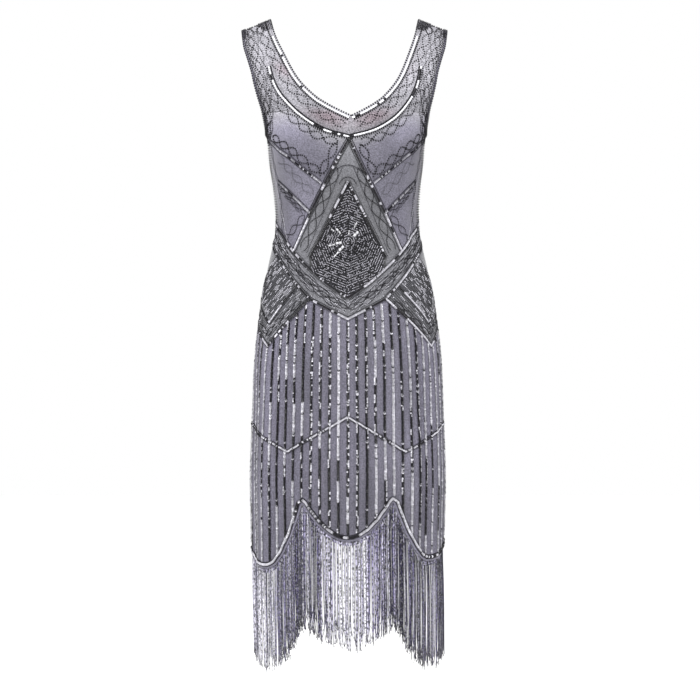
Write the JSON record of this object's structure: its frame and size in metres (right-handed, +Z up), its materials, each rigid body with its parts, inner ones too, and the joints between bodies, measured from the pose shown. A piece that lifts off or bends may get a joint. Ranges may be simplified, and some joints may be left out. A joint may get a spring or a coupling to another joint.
{
  "type": "flapper dress",
  "caption": "Sleeveless knee-length beaded flapper dress, filled out and hollow, with a sheer yoke, deep round neck, scalloped hem and long thread fringe.",
  "frame": {"origin": "midway between the two straps on the crest of the shoulders, where the wearer carries the dress", "axes": "+X to the wearer's left, -Y out of the front, +Z up"},
  "size_m": [0.3596, 0.2572, 1.1316],
  "materials": {
    "front_panel": "beaded net over a plain lining",
    "back_panel": "beaded net over a plain lining",
    "front_yoke": "unlined beaded net",
    "back_yoke": "unlined beaded net",
    "neck_binding": "dark beaded binding",
    "armhole_binding_left": "dark beaded binding",
    "armhole_binding_right": "dark beaded binding",
    "fringe_front": "glossy thread",
    "fringe_back": "glossy thread"
  },
  "bodies": {
    "root": {"front_panel": "front_panel", "back_panel": "back_panel", "front_yoke": "front_yoke", "back_yoke": "back_yoke", "neck_binding": "neck_binding", "armhole_binding_left": "armhole_binding_left", "armhole_binding_right": "armhole_binding_right", "fringe_front": "fringe_front", "fringe_back": "fringe_back"}
  },
  "joints": []
}
